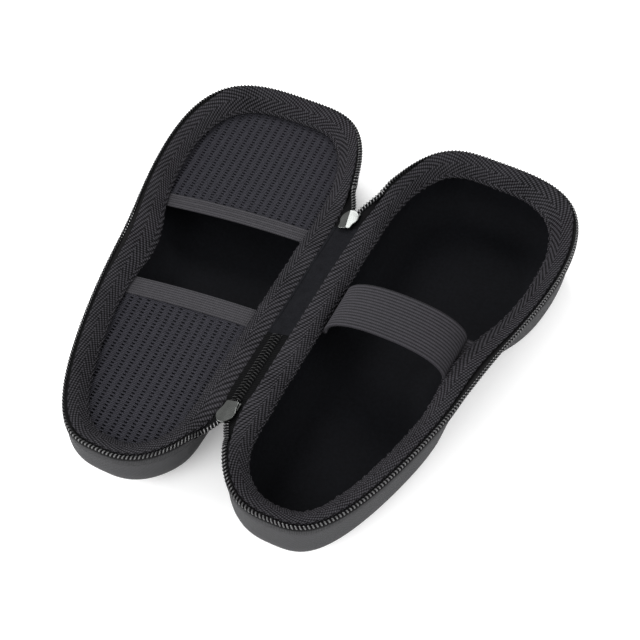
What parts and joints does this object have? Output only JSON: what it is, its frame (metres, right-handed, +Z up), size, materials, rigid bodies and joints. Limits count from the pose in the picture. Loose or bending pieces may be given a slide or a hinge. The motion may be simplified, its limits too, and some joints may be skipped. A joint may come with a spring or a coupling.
{
  "type": "shaver hard case",
  "caption": "Moulded hard case with an open lid, a cloth hinge, zip tapes with sliders, an elastic strap and mesh pockets.",
  "frame": {"origin": "middle of the base's flat underside, on the long axis of the rim's outline", "axes": "+Z up out of the open base, +Y to the wide head end, and the open lid lies on the -X side"},
  "size_m": [0.1904, 0.208, 0.0396],
  "materials": {
    "shell_cloth": "close diagonal weave over moulded foam, dark grey",
    "lining_cloth": "plain black",
    "webbing": "herringbone webbing with a soft shine, dark grey",
    "tape_cloth": "flat woven black",
    "coil_nylon": "smooth, small regular loops",
    "elastic": "ribbed along its length, charcoal",
    "panel_cloth": "napped black twill",
    "slider_metal": "dark satin plating",
    "mesh_cloth": "knitted mesh with small slits",
    "hem_elastic": "ribbed elastic binding"
  },
  "bodies": {
    "base": {"base_shell": "shell_cloth", "base_lining": "lining_cloth", "base_binding": "webbing", "base_zip_tape": "tape_cloth", "base_zip_coil": "coil_nylon", "base_hinge_seam": "panel_cloth", "elastic_strap": "elastic"},
    "hinge_strip": {"hinge_panel": "panel_cloth", "chain_tape_base_side": "tape_cloth", "chain_tape_lid_side": "tape_cloth", "chain_coil_base_side": "coil_nylon", "chain_coil_lid_side": "coil_nylon"},
    "lower_slider": {"lower_slider": "slider_metal"},
    "lower_pull": {"lower_pull_tab": "slider_metal"},
    "upper_slider": {"upper_slider": "slider_metal"},
    "upper_pull": {"upper_pull_tab": "slider_metal"},
    "lid": {"lid_shell": "shell_cloth", "lid_lining": "lining_cloth", "lid_binding": "webbing", "lid_zip_tape": "tape_cloth", "lid_zip_coil": "coil_nylon", "lid_hinge_seam": "panel_cloth", "tail_pocket_mesh": "mesh_cloth", "tail_pocket_hem": "hem_elastic", "head_pocket_mesh": "mesh_cloth", "head_pocket_hem": "hem_elastic"}
  },
  "joints": [
    {"name": "base_fold", "type": "hinge", "parent": "base", "child": "hinge_strip", "pos_m": [-0.034, 0, 0.029], "axis": [0, 1, 0], "range_deg": [0, 109.5]},
    {"name": "lid_fold", "type": "hinge", "parent": "hinge_strip", "child": "lid", "pos_m": [-0.04559, 0, 0.02489], "axis": [0, 1, 0], "range_deg": [0, 70.5]},
    {"name": "lower_slider_travel", "type": "slide", "parent": "hinge_strip", "child": "lower_slider", "axis": [0, 1, 0], "range_m": [0, 0.028]},
    {"name": "upper_slider_travel", "type": "slide", "parent": "hinge_strip", "child": "upper_slider", "axis": [0, 1, 0], "range_m": [0, 0.004]},
    {"name": "lower_pull_swing", "type": "hinge", "parent": "lower_slider", "child": "lower_pull", "pos_m": [-0.0387, -0.06235, 0.02384], "axis": [0.9426, 0, 0.3338], "range_deg": [-80, 80]},
    {"name": "upper_pull_swing", "type": "hinge", "parent": "upper_slider", "child": "upper_pull", "pos_m": [-0.0387, 0.04905, 0.02384], "axis": [0.9426, 0, 0.3338], "range_deg": [-80, 80]}
  ],
  "couplings": [
    {"joint": "lid_fold", "follows": "base_fold", "ratio": 0.64383}
  ]
}
